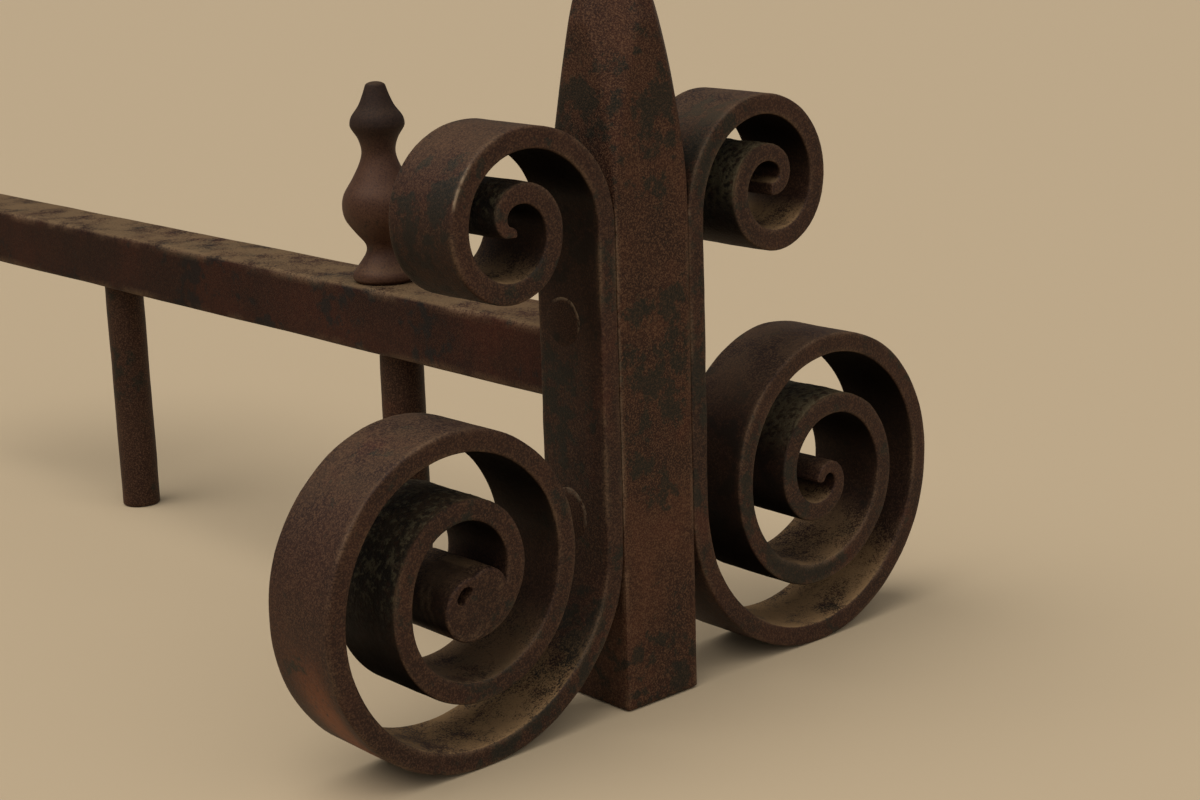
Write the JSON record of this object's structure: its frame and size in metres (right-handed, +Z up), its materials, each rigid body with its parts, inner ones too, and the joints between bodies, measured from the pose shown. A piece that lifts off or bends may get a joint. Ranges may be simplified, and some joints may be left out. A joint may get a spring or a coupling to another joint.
{
  "type": "andiron",
  "caption": "Forged iron andiron: a pointed square post between scrolled straps, and a log bar on round legs with a turned log stop.",
  "frame": {"origin": "centre of the front post's foot, on the hearth", "axes": "+Z up, +Y back along the log bar, +X to the right as seen from the front"},
  "size_m": [0.3207, 0.5792, 0.3105],
  "materials": {
    "post_iron": "forged square iron, dark brown rust with blackened scale",
    "strap_iron": "forged flat iron, brown rust, black scale on the inner turns",
    "rivet_iron": "hammered iron rivet, dark brown",
    "bar_iron": "forged square iron, reddish brown rust, dusty on top",
    "turned_iron": "turned iron, smooth brown, blue-black near the top",
    "leg_iron": "round iron bar, dark brown rust"
  },
  "bodies": {
    "root": {"front_post": "post_iron", "left_scroll": "strap_iron", "right_scroll": "strap_iron", "upper_rivet": "rivet_iron", "lower_rivet": "rivet_iron", "log_bar": "bar_iron", "log_stop": "turned_iron", "front_leg": "leg_iron", "rear_leg": "leg_iron"}
  },
  "joints": []
}
